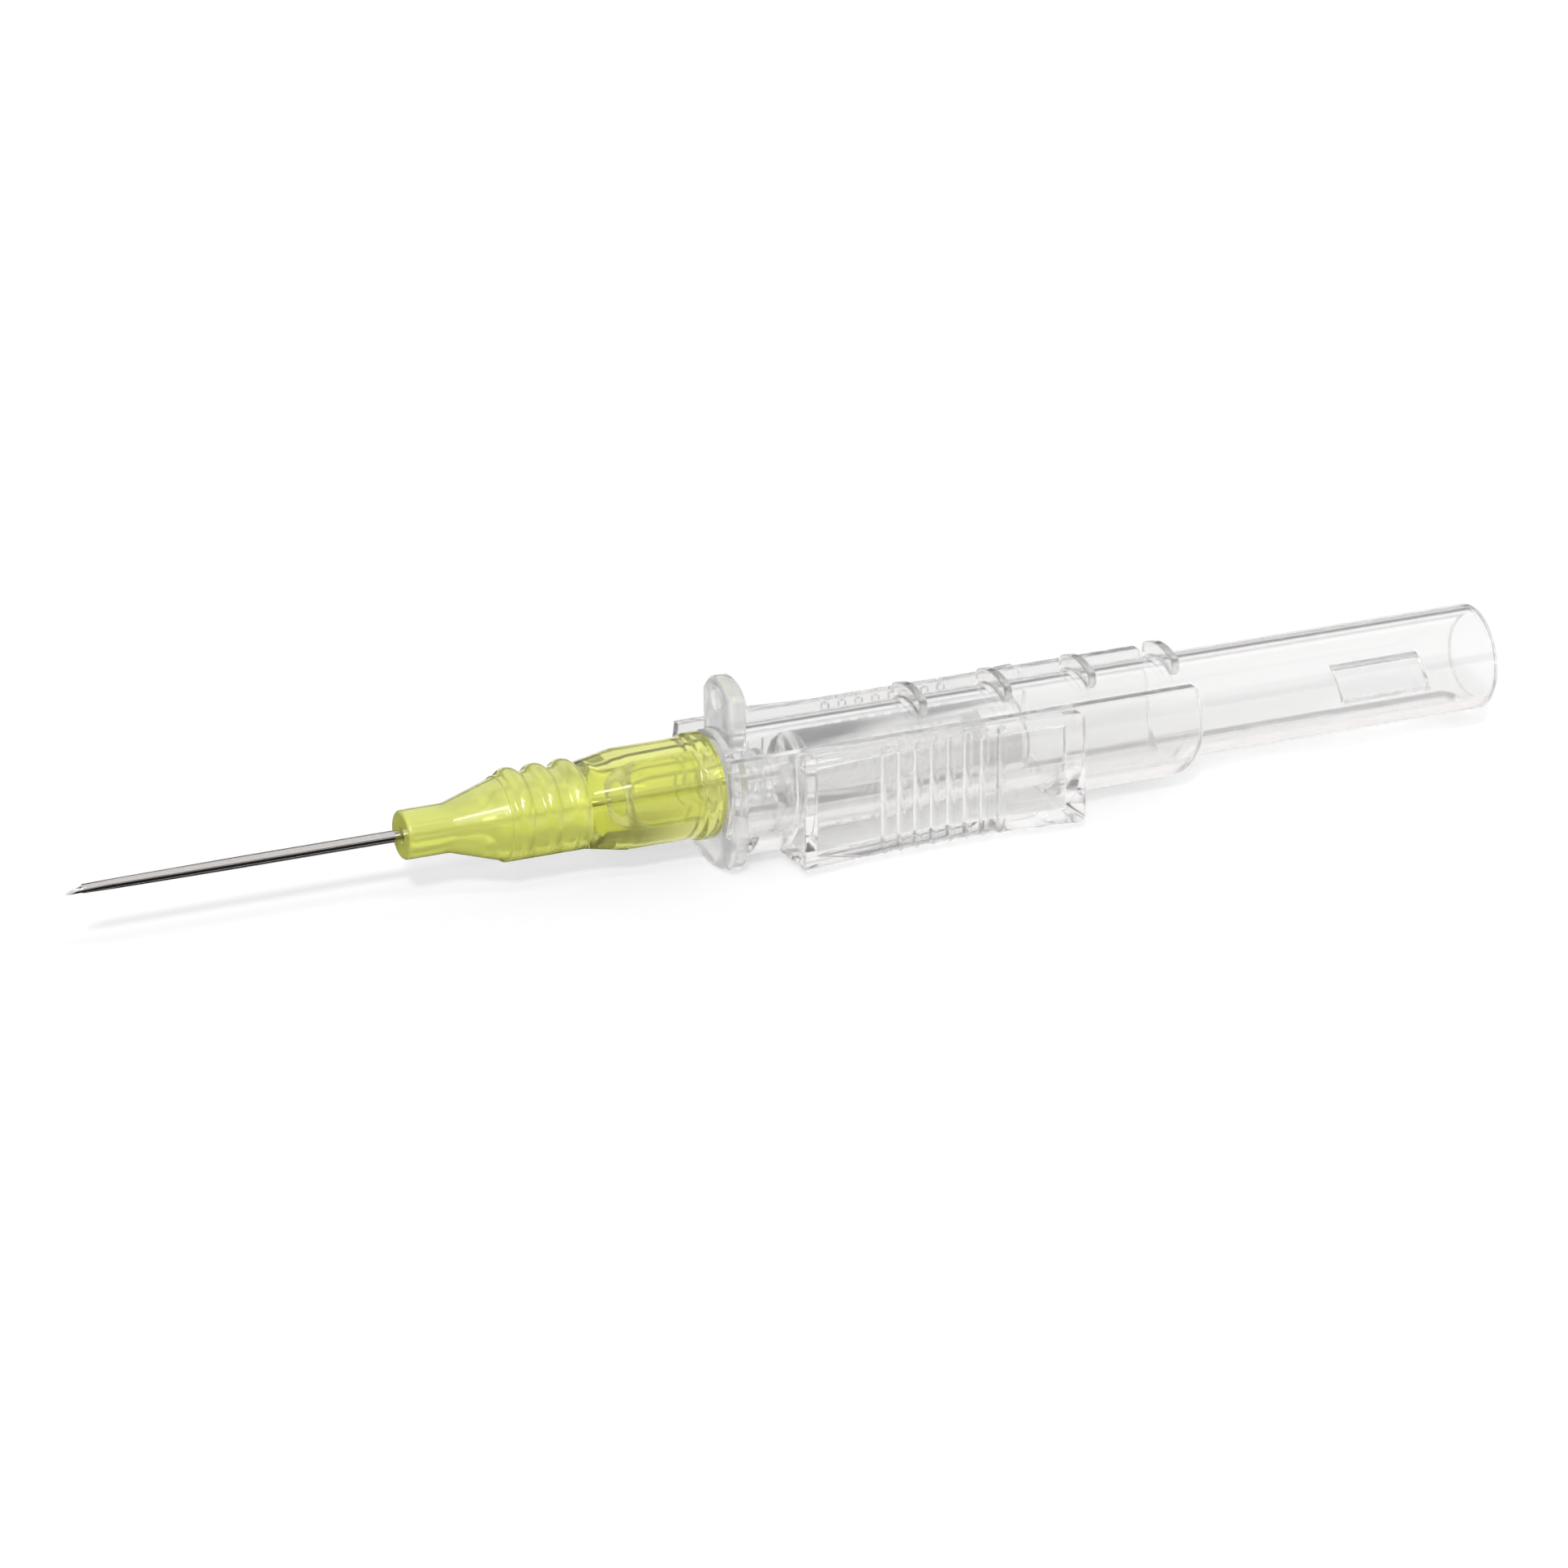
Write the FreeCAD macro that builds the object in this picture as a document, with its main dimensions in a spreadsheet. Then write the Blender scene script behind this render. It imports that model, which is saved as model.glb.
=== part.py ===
# A 24 gauge safety iv cannula, lying as it rests on a table.
# A steel needle runs through a thin catheter with a coloured hub. A clear guard slides
# forward over the needle along a clear channel that carries the flash chamber and grips.
# Lengths are in millimetres. Drawings use the needle's own axis as X, with X = 0 at the
# rear face of the catheter hub, the tip towards -X and Z upwards. Each body is then moved
# so that the origin lies under the middle of the whole thing, on the table.
import FreeCAD, Part
import math
import os
import types
import Sketcher

# Driving dimensions: name, value, what it is
SIZES = [
    ("needle_radius", 0.225, "outside radius of the steel needle"),
    ("needle_bore", 0.13, "bore radius of the steel needle"),
    ("needle_lead", 1.0, "needle point ahead of the catheter's tip"),
    ("bevel_length", 1.25, "length of the needle's ground point"),
    ("catheter_length", 19.45, "catheter tube ahead of the hub's nose"),
    ("catheter_radius", 0.35, "outside radius of the catheter tube"),
    ("catheter_neck_radius", 0.3, "outside radius where the tip's taper starts"),
    ("catheter_tip_radius", 0.265, "outside radius at the catheter's tip"),
    ("catheter_straight", 9.65, "straight stretch of tube ahead of the hub"),
    ("catheter_tip_taper", 2.0, "length of the tapered tip"),
    ("catheter_slip", 0.02, "radial clearance of the catheter on the needle"),
    ("catheter_flare", 0.09, "widening of the tube's end over the ferrule"),
    ("flare_run", 0.4, "length over which the tube widens"),
    ("ferrule_throat", 1.5, "straight length of the ferrule inside the tube"),
    ("ferrule_mouth", 0.7, "length of the ferrule's funnel"),
    ("ferrule_wall", 0.07, "wall of the ferrule"),
    ("ferrule_slip", 0.035, "radial clearance of the ferrule on the needle"),
    ("ferrule_spread", 0.39, "widening of the ferrule's funnel"),
    ("hub_seat_depth", 5.05, "depth of the ferrule's seat behind the hub's nose face"),
    ("hub_nose_radius", 1.46, "radius of the hub's nose"),
    ("hub_nose_length", 2.8, "length of the hub's nose"),
    ("hub_nose_chamfer", 0.12, "chamfer of the nose's front edge"),
    ("hub_cone_length", 3.25, "cone from the nose to the ribbed grip"),
    ("hub_step", 0.1, "small step at the end of the nose cone"),
    ("hub_grip_radius", 2.55, "radius under the hub's ribs"),
    ("hub_grip_length", 5.1, "length of the hub's ribbed grip"),
    ("hub_flare_length", 2.5, "cone from the grip to the barrel"),
    ("hub_barrel_radius", 3.02, "radius of the hub's barrel"),
    ("hub_barrel_length", 4.34, "length of the hub's barrel"),
    ("hub_collar_radius", 3.21, "radius of the hub's rear collar"),
    ("hub_collar_width", 1.36, "width of the hub's rear collar"),
    ("hub_collar_chamfer", 0.18, "chamfer of the collar's edges"),
    ("hub_rib_first", 0.9, "first hub rib behind the front of the grip"),
    ("hub_rib_pitch", 1.72, "distance between hub ribs"),
    ("hub_rib_count", 3, "number of hub ribs"),
    ("hub_rib_half", 0.62, "half width of a hub rib at its foot"),
    ("hub_rib_height", 0.37, "height of a hub rib at the top"),
    ("hub_rib_rise", 0.2, "height of the ribs' own axis above the needle"),
    ("socket_radius", 2.15, "radius of the hub's socket at its mouth"),
    ("socket_depth", 7.4, "depth of the hub's tapered socket"),
    ("socket_taper", 0.03, "radius lost by the socket for each millimetre of depth"),
    ("socket_floor", 1.0, "length of the cone at the socket's floor"),
    ("hub_core_radius", 1.15, "radius of the passage behind the socket"),
    ("nose_clearance", 0.02, "radial clearance of the guard's nose in the socket"),
    ("guard_nose_length", 5.6, "length of the guard's nose ahead of the hub's rear face"),
    ("guard_nose_bore", 1.1, "bore radius of the guard's nose"),
    ("guard_nose_chamfer", 0.25, "chamfer at the front of the guard's nose"),
    ("plate_gap", 0.2, "gap from the hub's collar to the guard's plate"),
    ("plate_thickness", 1.1, "thickness of the guard's plate and tab"),
    ("plate_half", 3.05, "half width of the guard's plate"),
    ("plate_shoulder", 0.9, "top of the plate, inside the tube's circle"),
    ("plate_chamfer", 0.18, "chamfer of the plate's edges"),
    ("tab_setback", 0.46, "how far the push-off tab stands behind the plate's front"),
    ("tab_half", 2.0, "half width of the push-off tab"),
    ("tab_arch", 1.1, "rise of the tab's arched top"),
    ("tab_chamfer", 0.22, "chamfer of the tab's edges"),
    ("tab_top", 6.55, "top of the push-off tab above the needle"),
    ("dimple_radius", 0.75, "radius of the shallow dimple in the tab"),
    ("dimple_height", 5.2, "height of the dimple above the needle"),
    ("dimple_depth", 0.25, "depth of the dimple"),
    ("lobe_bottom", 5.15, "bottom of the plate's lobe below the needle"),
    ("lobe_side", 3.7, "where the lobe's straight sides end, below the needle"),
    ("lobe_flat_half", 1.95, "half width of the lobe's shallow bottom curve"),
    ("lobe_sag", 0.4, "rise of the shallow bottom curve"),
    ("guard_radius", 3.25, "outside radius of the guard's tube"),
    ("guard_wall", 0.6, "wall of the guard's tube"),
    ("guard_tail", 5.26, "length of the guard's tube behind its lock window"),
    ("guard_travel", 37.4, "travel of the guard to its locked place"),
    ("slot_gap", 0.38, "gap from the web to each side of the guard's slot"),
    ("slot_end_wall", 0.95, "closed ring behind the slot"),
    ("window_bottom", 0.35, "lower edge of the lock window below the needle"),
    ("window_top", 1.67, "upper edge of the lock window above the needle"),
    ("window_slant", 0.6, "slant of the window's front and rear edges"),
    ("window_margin", 0.1, "room at each end of the wing in the lock window"),
    ("guard_rib_first", 11.95, "first guard rib behind the plate"),
    ("guard_rib_pitch", 5.6, "distance between guard ribs"),
    ("guard_rib_count", 4, "number of guard ribs"),
    ("guard_rib_width", 0.5, "width of a guard rib along the tube"),
    ("guard_rib_height", 0.87, "height of a guard rib above the tube"),
    ("guard_rib_root", 0.25, "depth of a guard rib's root in the tube"),
    ("guard_rib_half", 1.4, "half span of a guard rib, to its round end's centre"),
    ("housing_lead", 0.25, "front of the channel's walls ahead of the hub's rear face"),
    ("housing_length", 31.1, "length of the channel"),
    ("channel_gap", 0.27, "radial gap from the guard's tube to the channel"),
    ("housing_wall", 0.6, "wall of the channel"),
    ("housing_top", 2.65, "top of the channel's walls above the needle"),
    ("channel_lean", 0.12, "how far the channel's walls lean in at their top"),
    ("bell_gap", 0.118, "gap from the guard's plate to the channel's wider front"),
    ("bell_lean", 0.5, "how far the wider front's walls lean in at their top"),
    ("bell_wall", 0.65, "wall of the channel's wider front"),
    ("bell_relief", 0.3, "gap from the guard's plate to the channel's floor"),
    ("bell_relief_top", 2.15, "top of the relief for the lobe, below the needle"),
    ("rear_bulge", 0.3, "bulge of the channel's rear edge"),
    ("rear_round", 0.35, "rounding of the rear edge's upper corner"),
    ("rear_foot", 1.7, "rounding of the rear edge's lower corner"),
    ("grip_front", 4.1, "front of the finger grips behind the hub's rear face"),
    ("grip_length", 18.5, "length of the finger grips"),
    ("grip_waist_half", 4.13, "half width over the grips at their waist"),
    ("grip_waist_place", 9.83, "distance of the waist behind the grips' front"),
    ("grip_sweep", 57.7, "radius of the grips' hollow curve"),
    ("grip_bottom", 4.42, "bottom of the grips below the needle"),
    ("grip_top", 2.5, "top of the grips above the needle"),
    ("grip_skin", 0.65, "skin of the hollow grips"),
    ("grip_end_wall", 1.0, "end wall of the hollow grips"),
    ("grip_floor", 0.8, "floor of the hollow grips"),
    ("grip_roof", 0.9, "roof of the hollow grips"),
    ("grip_corner", 0.45, "rounding of the grips' rear corners"),
    ("grip_rib_first", 5.48, "first grip rib behind the grips' front"),
    ("grip_rib_pitch", 1.094, "distance between grip ribs"),
    ("grip_rib_count", 8, "number of grip ribs on each side"),
    ("grip_rib_radius", 0.27, "radius of a grip rib"),
    ("grip_rib_point", 0.2, "length of the cone at each end of a grip rib"),
    ("grip_rib_top", 0.3, "centre of a rib's upper round end below the grips' top"),
    ("grip_rib_foot", 0.12, "centre of a rib's lower round end above the grips' bottom"),
    ("web_length", 7.8, "length of the web under the flash chamber"),
    ("web_half", 0.5, "half thickness of the web"),
    ("chamber_front", 4.7, "front of the flash chamber behind the hub's rear face"),
    ("chamber_length", 15.2, "length of the flash chamber's barrel"),
    ("chamber_gap", 0.35, "radial gap from the flash chamber to the guard's bore"),
    ("chamber_wall", 0.55, "wall of the flash chamber"),
    ("chamber_end_wall", 1.2, "front wall of the flash chamber"),
    ("chamber_chamfer", 0.3, "chamfer of the chamber's shoulder"),
    ("chamber_nose_length", 3.0, "length of the chamber's nose"),
    ("chamber_nose_radius", 1.2, "radius of the chamber's nose"),
    ("chamber_ring_radius", 1.65, "radius of the ring on the chamber's nose"),
    ("chamber_ring_width", 0.5, "width of the ring on the chamber's nose"),
    ("chamber_ring_place", 1.2, "place of the ring behind the nose's front"),
    ("wing_lead", 1.0, "front of the lock wing ahead of the chamber's barrel"),
    ("wing_length", 5.2, "length of the lock wing"),
    ("wing_gap", 0.1, "radial gap from the lock wing to the guard's bore"),
    ("wing_root", 0.15, "depth of the lock wing's root in the chamber"),
    ("wing_rise", 31, "angle of the wing's upper edge above the horizontal, in degrees"),
    ("wing_drop", 6, "angle of the wing's lower edge below the horizontal, in degrees"),
    ("plug_length", 2.2, "length of the porous vent plug"),
    ("plug_inset", 0.3, "depth of the vent plug behind the chamber's rim"),
    ("plug_slip", 0.01, "radial clearance of the vent plug"),
    ("bond_slip", 0.005, "radial clearance of a bonded joint"),
]

# Share of a corner's radius between the corner's own point and the middle of its round
ROUND_INSET = 1 - math.sqrt(0.5)


def value_of(size):
    """The number that a size or a plain number stands for."""
    return size.value if isinstance(size, Size) else float(size)


def formula_of(size):
    """The sheet formula that a size or a plain number stands for."""
    return size.formula if isinstance(size, Size) else repr(float(size))


class Size:
    """A length together with the sheet formula that gives it, so one sum serves both."""

    def __init__(self, value, formula):
        self.value = value
        self.formula = formula

    def __add__(self, other):
        return Size(self.value + value_of(other), f"({self.formula} + {formula_of(other)})")

    def __sub__(self, other):
        return Size(self.value - value_of(other), f"({self.formula} - {formula_of(other)})")

    def __mul__(self, other):
        return Size(self.value * value_of(other), f"({self.formula} * {formula_of(other)})")

    def __truediv__(self, other):
        return Size(self.value / value_of(other), f"({self.formula} / {formula_of(other)})")

    def __neg__(self):
        return Size(-self.value, f"(0 - {self.formula})")

    def __rsub__(self, other):
        return Size(value_of(other) - self.value, f"({formula_of(other)} - {self.formula})")

    __radd__ = __add__
    __rmul__ = __mul__


def root(size):
    """The square root of a size."""
    return Size(math.sqrt(size.value), f"sqrt({size.formula})")


def make_sheet(document):
    """Write the driving dimensions into a spreadsheet and hand them back by name."""
    sheet = document.addObject("Spreadsheet::Sheet", "Sizes")
    named = {}
    for row, (name, value, meaning) in enumerate(SIZES, start=1):
        sheet.set(f"A{row}", meaning)
        sheet.set(f"B{row}", str(value))
        sheet.setAlias(f"B{row}", name)
        named[name] = Size(float(value), f"Sizes.{name}")
    document.recompute()
    return types.SimpleNamespace(**named)


def bind(target, path, size):
    """Tie a property to the sheet by the size's formula."""
    target.setExpression(path, formula_of(size))


def new_body(name):
    """An empty body whose drawing origin sits on the needle's axis."""
    body = document.addObject("PartDesign::Body", name)
    body.Label = name
    bind(body, "Placement.Base.x", -middle)
    bind(body, "Placement.Base.z", S.lobe_bottom)
    return body


def origin_part(body, role):
    """One of the body's own origin planes or axes."""
    return next(part for part in body.Origin.OriginFeatures if part.Role == role)


def new_sketch(body, name, role, along=None, shift=None, lift=None):
    """A sketch on an origin plane, moved along its normal, sideways or upwards."""
    sketch = body.newObject("Sketcher::SketchObject", name)
    sketch.AttachmentSupport = [(origin_part(body, role), "")]
    sketch.MapMode = "FlatFace"
    for letter, size in (("z", along), ("x", shift), ("y", lift)):
        if size is not None:
            bind(sketch, f"AttachmentOffset.Base.{letter}", size)
    return sketch


def fix_point(sketch, curve, end, x, y):
    """Hold one end of a curve at x, y from the sketch's origin."""
    for kind, axis, size in (("DistanceX", -2, x), ("DistanceY", -1, y)):
        if not isinstance(size, Size) and size == 0:
            sketch.addConstraint(Sketcher.Constraint("PointOnObject", curve, end, axis))
            continue
        rule = Sketcher.Constraint(kind, -1, 1, curve, end, value_of(size))
        number = sketch.addConstraint(rule)
        bind(sketch, f"Constraints[{number}]", size)


def flat(x, y):
    """A sketch point as a vector."""
    return FreeCAD.Vector(value_of(x), value_of(y), 0)


def add_arc(sketch, start, via, end):
    """Add the arc from start through via to end. Returns the curve and its two ends."""
    centre = Part.Arc(start, via, end).toShape().Curve.Center
    circle = Part.Circle(centre, FreeCAD.Vector(0, 0, 1), (start - centre).Length)
    first = math.atan2(start.y - centre.y, start.x - centre.x)
    last = math.atan2(end.y - centre.y, end.x - centre.x)
    anticlockwise = (via - start).cross(end - via).z > 0
    if not anticlockwise:
        first, last = last, first
    if last < first:
        last += 2 * math.pi
    curve = sketch.addGeometry(Part.ArcOfCircle(circle, first, last), False)
    return (curve, 1, 2) if anticlockwise else (curve, 2, 1)


def draw(sketch, path):
    """Close an outline. An entry (x, y) is reached by a straight line, and an entry
    (x, y, via_x, via_y) by the arc that passes through its via point."""
    runs = []
    for place, entry in enumerate(path):
        start = flat(*path[place - 1][:2])
        end = flat(*entry[:2])
        if len(entry) == 2:
            runs.append((sketch.addGeometry(Part.LineSegment(start, end), False), 1, 2))
            continue
        via = flat(*entry[2:])
        run = add_arc(sketch, start, via, end)
        mark = sketch.addGeometry(Part.Point(via), True)
        sketch.addConstraint(Sketcher.Constraint("PointOnObject", mark, 1, run[0]))
        fix_point(sketch, mark, 1, *entry[2:])
        runs.append(run)
    for place, (curve, _, last) in enumerate(runs):
        follower, first, _ = runs[(place + 1) % len(runs)]
        sketch.addConstraint(Sketcher.Constraint("Coincident", curve, last, follower, first))
        fix_point(sketch, curve, last, *path[place][:2])


def draw_circle(sketch, x, y, radius):
    """Add a circle whose centre and radius follow the sheet."""
    circle = Part.Circle(flat(x, y), FreeCAD.Vector(0, 0, 1), value_of(radius))
    curve = sketch.addGeometry(circle, False)
    fix_point(sketch, curve, 3, x, y)
    number = sketch.addConstraint(Sketcher.Constraint("Radius", curve, value_of(radius)))
    bind(sketch, f"Constraints[{number}]", radius)


def turn(body, name, path, lift=None, role="XZ_Plane", kind="Revolution"):
    """Turn a profile of (x, radius) points about the needle's axis, or an axis lifted
    above it."""
    sketch = new_sketch(body, f"{name}_profile", role, lift=lift)
    draw(sketch, path)
    return turn_sketch(body, name, sketch, kind)


def turn_sketch(body, name, sketch, kind="Revolution", axis="H_Axis"):
    """Turn a finished sketch about one of its own axes."""
    feature = body.newObject(f"PartDesign::{kind}", name)
    feature.Profile = sketch
    feature.ReferenceAxis = (sketch, [axis])
    feature.Angle = 360
    return feature


def groove(body, name, path):
    """Cut a profile of (x, radius) points, turned about the needle's axis."""
    return turn(body, name, path, kind="Groove")


def pad(body, name, sketch, length, both_ways=False):
    """Pad a sketch along its normal, or half to each side."""
    feature = body.newObject("PartDesign::Pad", name)
    feature.Profile = sketch
    feature.SideType = "Symmetric" if both_ways else "One side"
    bind(feature, "Length", length)
    return feature


def pocket(body, name, sketch, length, both_ways=False, along_normal=False):
    """Cut a sketch against its normal, along it, or half to each side."""
    feature = body.newObject("PartDesign::Pocket", name)
    feature.Profile = sketch
    feature.SideType = "Symmetric" if both_ways else "One side"
    feature.Reversed = along_normal
    bind(feature, "Length", length)
    return feature


def soften(body, kind, name, feature, size, wanted):
    """Fillet or chamfer those edges of a feature whose boxes are wanted."""
    document.recompute()
    edges = enumerate(feature.Shape.Edges, start=1)
    names = [f"Edge{number}" for number, edge in edges if wanted(edge.BoundBox)]
    softened = body.newObject(f"PartDesign::{kind}", name)
    softened.Base = (feature, names)
    bind(softened, {"Fillet": "Radius", "Chamfer": "Size"}[kind], size)


def repeat_along(body, name, feature, pitch, count):
    """Repeat a feature along the needle's axis."""
    pattern = body.newObject("PartDesign::LinearPattern", name)
    pattern.Originals = [feature]
    pattern.Direction = (origin_part(body, "X_Axis"), [""])
    bind(pattern, "Length", pitch * (count - 1))
    bind(pattern, "Occurrences", count)
    body.Tip = pattern
    return pattern


def mirror_across(body, name, features):
    """Mirror features to the other side of the upright middle plane."""
    mirrored = body.newObject("PartDesign::Mirrored", name)
    mirrored.Originals = features
    mirrored.MirrorPlane = (origin_part(body, "XZ_Plane"), [""])
    body.Tip = mirrored
    return mirrored


def rounded(x, y, radius, x_side, y_side, first):
    """Two entries that round a corner at x, y. The sides say where the solid lies from
    the corner, and first says whether the path comes in along "x" or along "y"."""
    on_x = (x + radius * x_side, y)
    on_y = (x, y + radius * y_side)
    via = (x + radius * (ROUND_INSET * x_side), y + radius * (ROUND_INSET * y_side))
    return [on_x, on_y + via] if first == "x" else [on_y, on_x + via]


# The needle

def make_needle():
    """Steel tube whose front is ground to a slanting point that opens upwards."""
    body = new_body("needle")
    section = new_sketch(body, "needle_section", "YZ_Plane", along=needle_tip)
    draw_circle(section, 0, 0, S.needle_radius)
    draw_circle(section, 0, 0, S.needle_bore)
    pad(body, "needle_tube", section, needle_end - needle_tip)
    bevel = new_sketch(body, "bevel_profile", "XZ_Plane")
    above = S.needle_radius * 2
    draw(bevel, [
        (needle_tip, -S.needle_radius),
        (needle_tip + S.bevel_length, S.needle_radius),
        (needle_tip + S.bevel_length, above),
        (needle_tip - S.needle_radius, above),
        (needle_tip - S.needle_radius, -S.needle_radius),
    ])
    pocket(body, "bevel", bevel, above * 2, both_ways=True)
    return body


# The catheter

def make_catheter_tube():
    """Thin tube that tapers to its tip and opens out over the ferrule."""
    body = new_body("catheter_tube")
    wide = tube_bore + S.catheter_flare
    turn(body, "tube", [
        (catheter_tip, tube_bore),
        (catheter_tip, S.catheter_tip_radius),
        (catheter_tip + S.catheter_tip_taper, S.catheter_neck_radius),
        (hub_front - S.catheter_straight, S.catheter_radius),
        (flare_front, S.catheter_radius),
        (flare_front + S.flare_run, S.catheter_radius + S.catheter_flare),
        (seat - S.catheter_flare, S.catheter_radius + S.catheter_flare),
        (seat - S.catheter_flare, wide),
        (flare_front + S.flare_run, wide),
        (flare_front, tube_bore),
    ])
    return body


def make_tube_ferrule():
    """Steel funnel that wedges the tube's end in the hub."""
    body = new_body("tube_ferrule")
    mouth = ferrule_bore + S.ferrule_spread
    turn(body, "funnel", [
        (seat - S.ferrule_throat, ferrule_bore),
        (seat, ferrule_bore),
        (seat + S.ferrule_mouth, mouth),
        (seat + S.ferrule_mouth, mouth + S.ferrule_wall),
        (seat, ferrule_bore + S.ferrule_wall),
        (seat - S.ferrule_throat, ferrule_bore + S.ferrule_wall),
    ])
    return body


def make_catheter_hub():
    """Moulded hub: nose, cone, ribbed grip, barrel and collar, with a tapered socket."""
    body = new_body("catheter_hub")
    turn(body, "hub_outside", [
        (hub_front, 0),
        (hub_front, S.hub_nose_radius - S.hub_nose_chamfer),
        (hub_front + S.hub_nose_chamfer, S.hub_nose_radius),
        (cone_front, S.hub_nose_radius),
        (hub_grip_front, S.hub_grip_radius - S.hub_step),
        (hub_grip_front, S.hub_grip_radius),
        (hub_grip_back, S.hub_grip_radius),
        (barrel_front, S.hub_barrel_radius),
        (collar_front, S.hub_barrel_radius),
        (collar_front + S.hub_collar_chamfer, S.hub_collar_radius),
        (-S.hub_collar_chamfer, S.hub_collar_radius),
        (0, S.hub_collar_radius - S.hub_collar_chamfer),
        (0, 0),
    ])
    crest = S.hub_grip_radius + S.hub_rib_height - S.hub_rib_rise
    section = new_sketch(body, "hub_rib_section", "XZ_Plane", lift=S.hub_rib_rise)
    place = hub_grip_front + S.hub_rib_first
    foot = crest - S.hub_rib_height * 1.3
    shoulder = crest - S.hub_rib_height * 0.45
    draw(section, [
        (place - S.hub_rib_half, foot),
        (place - S.hub_rib_half * 0.75, shoulder),
        (place - S.hub_rib_half * 0.35, crest),
        (place + S.hub_rib_half * 0.35, crest),
        (place + S.hub_rib_half * 0.75, shoulder),
        (place + S.hub_rib_half, foot),
    ])
    rib = turn_sketch(body, "hub_rib", section)
    repeat_along(body, "hub_ribs", rib, S.hub_rib_pitch, S.hub_rib_count)
    bonded = S.catheter_radius + S.bond_slip
    funnel = ferrule_bore + S.ferrule_spread + S.ferrule_wall + S.bond_slip
    floor_radius = S.socket_radius - S.socket_taper * S.socket_depth
    groove(body, "hub_inside", [
        (hub_front, 0),
        (hub_front, bonded),
        (flare_front, bonded),
        (flare_front + S.flare_run, bonded + S.catheter_flare),
        (seat, bonded + S.catheter_flare),
        (seat + S.ferrule_mouth, funnel),
        (seat + S.ferrule_mouth + S.hub_core_radius - funnel, S.hub_core_radius),
        (-S.socket_depth - S.socket_floor, S.hub_core_radius),
        (-S.socket_depth, floor_radius),
        (0, S.socket_radius),
        (0, 0),
    ])
    return body


# The guard

def add_push_off_tab(body):
    """The tab that a finger pushes, with an arched top, softened edges and a dimple."""
    sketch = new_sketch(body, "tab_outline", "YZ_Plane", along=tab_front)
    arch = S.tab_top - S.tab_arch
    draw(sketch, [
        (S.tab_half, 0),
        (S.tab_half, arch),
        (-S.tab_half, arch, 0, S.tab_top),
        (-S.tab_half, 0),
    ])
    tab = pad(body, "tab", sketch, S.plate_thickness)

    def outline_edge(box):
        """Whether an edge belongs to the tab's sides or top."""
        return box.XLength < 0.01 and box.ZMax > 0.01

    soften(body, "Chamfer", "tab_edges", tab, S.tab_chamfer, outline_edge)
    dimple = new_sketch(body, "dimple_circle", "YZ_Plane", along=tab_front)
    draw_circle(dimple, 0, S.dimple_height, S.dimple_radius)
    pocket(body, "dimple", dimple, S.dimple_depth, along_normal=True)


def add_guard_plate(body):
    """The plate behind the hub, with its rounded lobe below the needle."""
    sketch = new_sketch(body, "plate_outline", "YZ_Plane", along=S.plate_gap)
    low = -S.lobe_bottom + S.lobe_sag
    side = (S.plate_half + S.lobe_flat_half) / 2 + S.lobe_sag * 0.55
    corner = -(S.lobe_side + S.lobe_bottom - S.lobe_sag) / 2 - S.lobe_sag * 0.55
    draw(sketch, [
        (-S.plate_half, S.plate_shoulder),
        (-S.plate_half, -S.lobe_side),
        (-S.lobe_flat_half, low, -side, corner),
        (S.lobe_flat_half, low, 0, -S.lobe_bottom),
        (S.plate_half, -S.lobe_side, side, corner),
        (S.plate_half, S.plate_shoulder),
    ])
    plate = pad(body, "plate", sketch, S.plate_thickness)

    def lobe_edge(box):
        """Whether an edge belongs to the plate's sides or lobe."""
        return box.XLength < 0.01 and box.ZMin < -1

    soften(body, "Chamfer", "lobe_edges", plate, S.plate_chamfer, lobe_edge)


def add_guard_ribs(body):
    """Short upright ribs across the top of the tube, with round ends."""
    outer = S.guard_radius + S.guard_rib_height
    inner = S.guard_radius - S.guard_rib_root
    centre = (outer + inner) / 2
    half_depth = (outer - inner) / 2
    across = S.guard_rib_half / centre
    upright = root(1 - across * across)
    tip_y = S.guard_rib_half + half_depth * upright
    tip_z = centre * upright - half_depth * across
    start = plate_back + S.guard_rib_first
    sketch = new_sketch(body, "guard_rib_section", "YZ_Plane", along=start)
    draw(sketch, [
        (outer * across, outer * upright, tip_y, tip_z),
        (-outer * across, outer * upright, 0, outer),
        (-inner * across, inner * upright, -tip_y, tip_z),
        (inner * across, inner * upright, 0, inner),
    ])
    rib = pad(body, "guard_rib", sketch, S.guard_rib_width, both_ways=True)
    repeat_along(body, "guard_ribs", rib, S.guard_rib_pitch, S.guard_rib_count)


def cut_guard_windows(body):
    """The slot that the chamber's web runs in, and the window on the near side that the
    lock wing drops into."""
    half = S.web_half + S.slot_gap
    slot_back = guard_end - S.slot_end_wall - half
    slot = new_sketch(body, "slot_outline", "XY_Plane")
    draw(slot, [
        (plate_back, -half),
        (slot_back, -half),
        (slot_back, half, slot_back + half, 0),
        (plate_back, half),
    ])
    pocket(body, "web_slot", slot, S.guard_radius * 2)
    window = new_sketch(body, "window_outline", "XZ_Plane")
    draw(window, [
        (window_front, -S.window_bottom),
        (window_back + S.window_slant, -S.window_bottom),
        (window_back, S.window_top),
        (window_front - S.window_slant, S.window_top),
    ])
    pocket(body, "lock_window", window, S.guard_radius * 2, along_normal=True)


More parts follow.
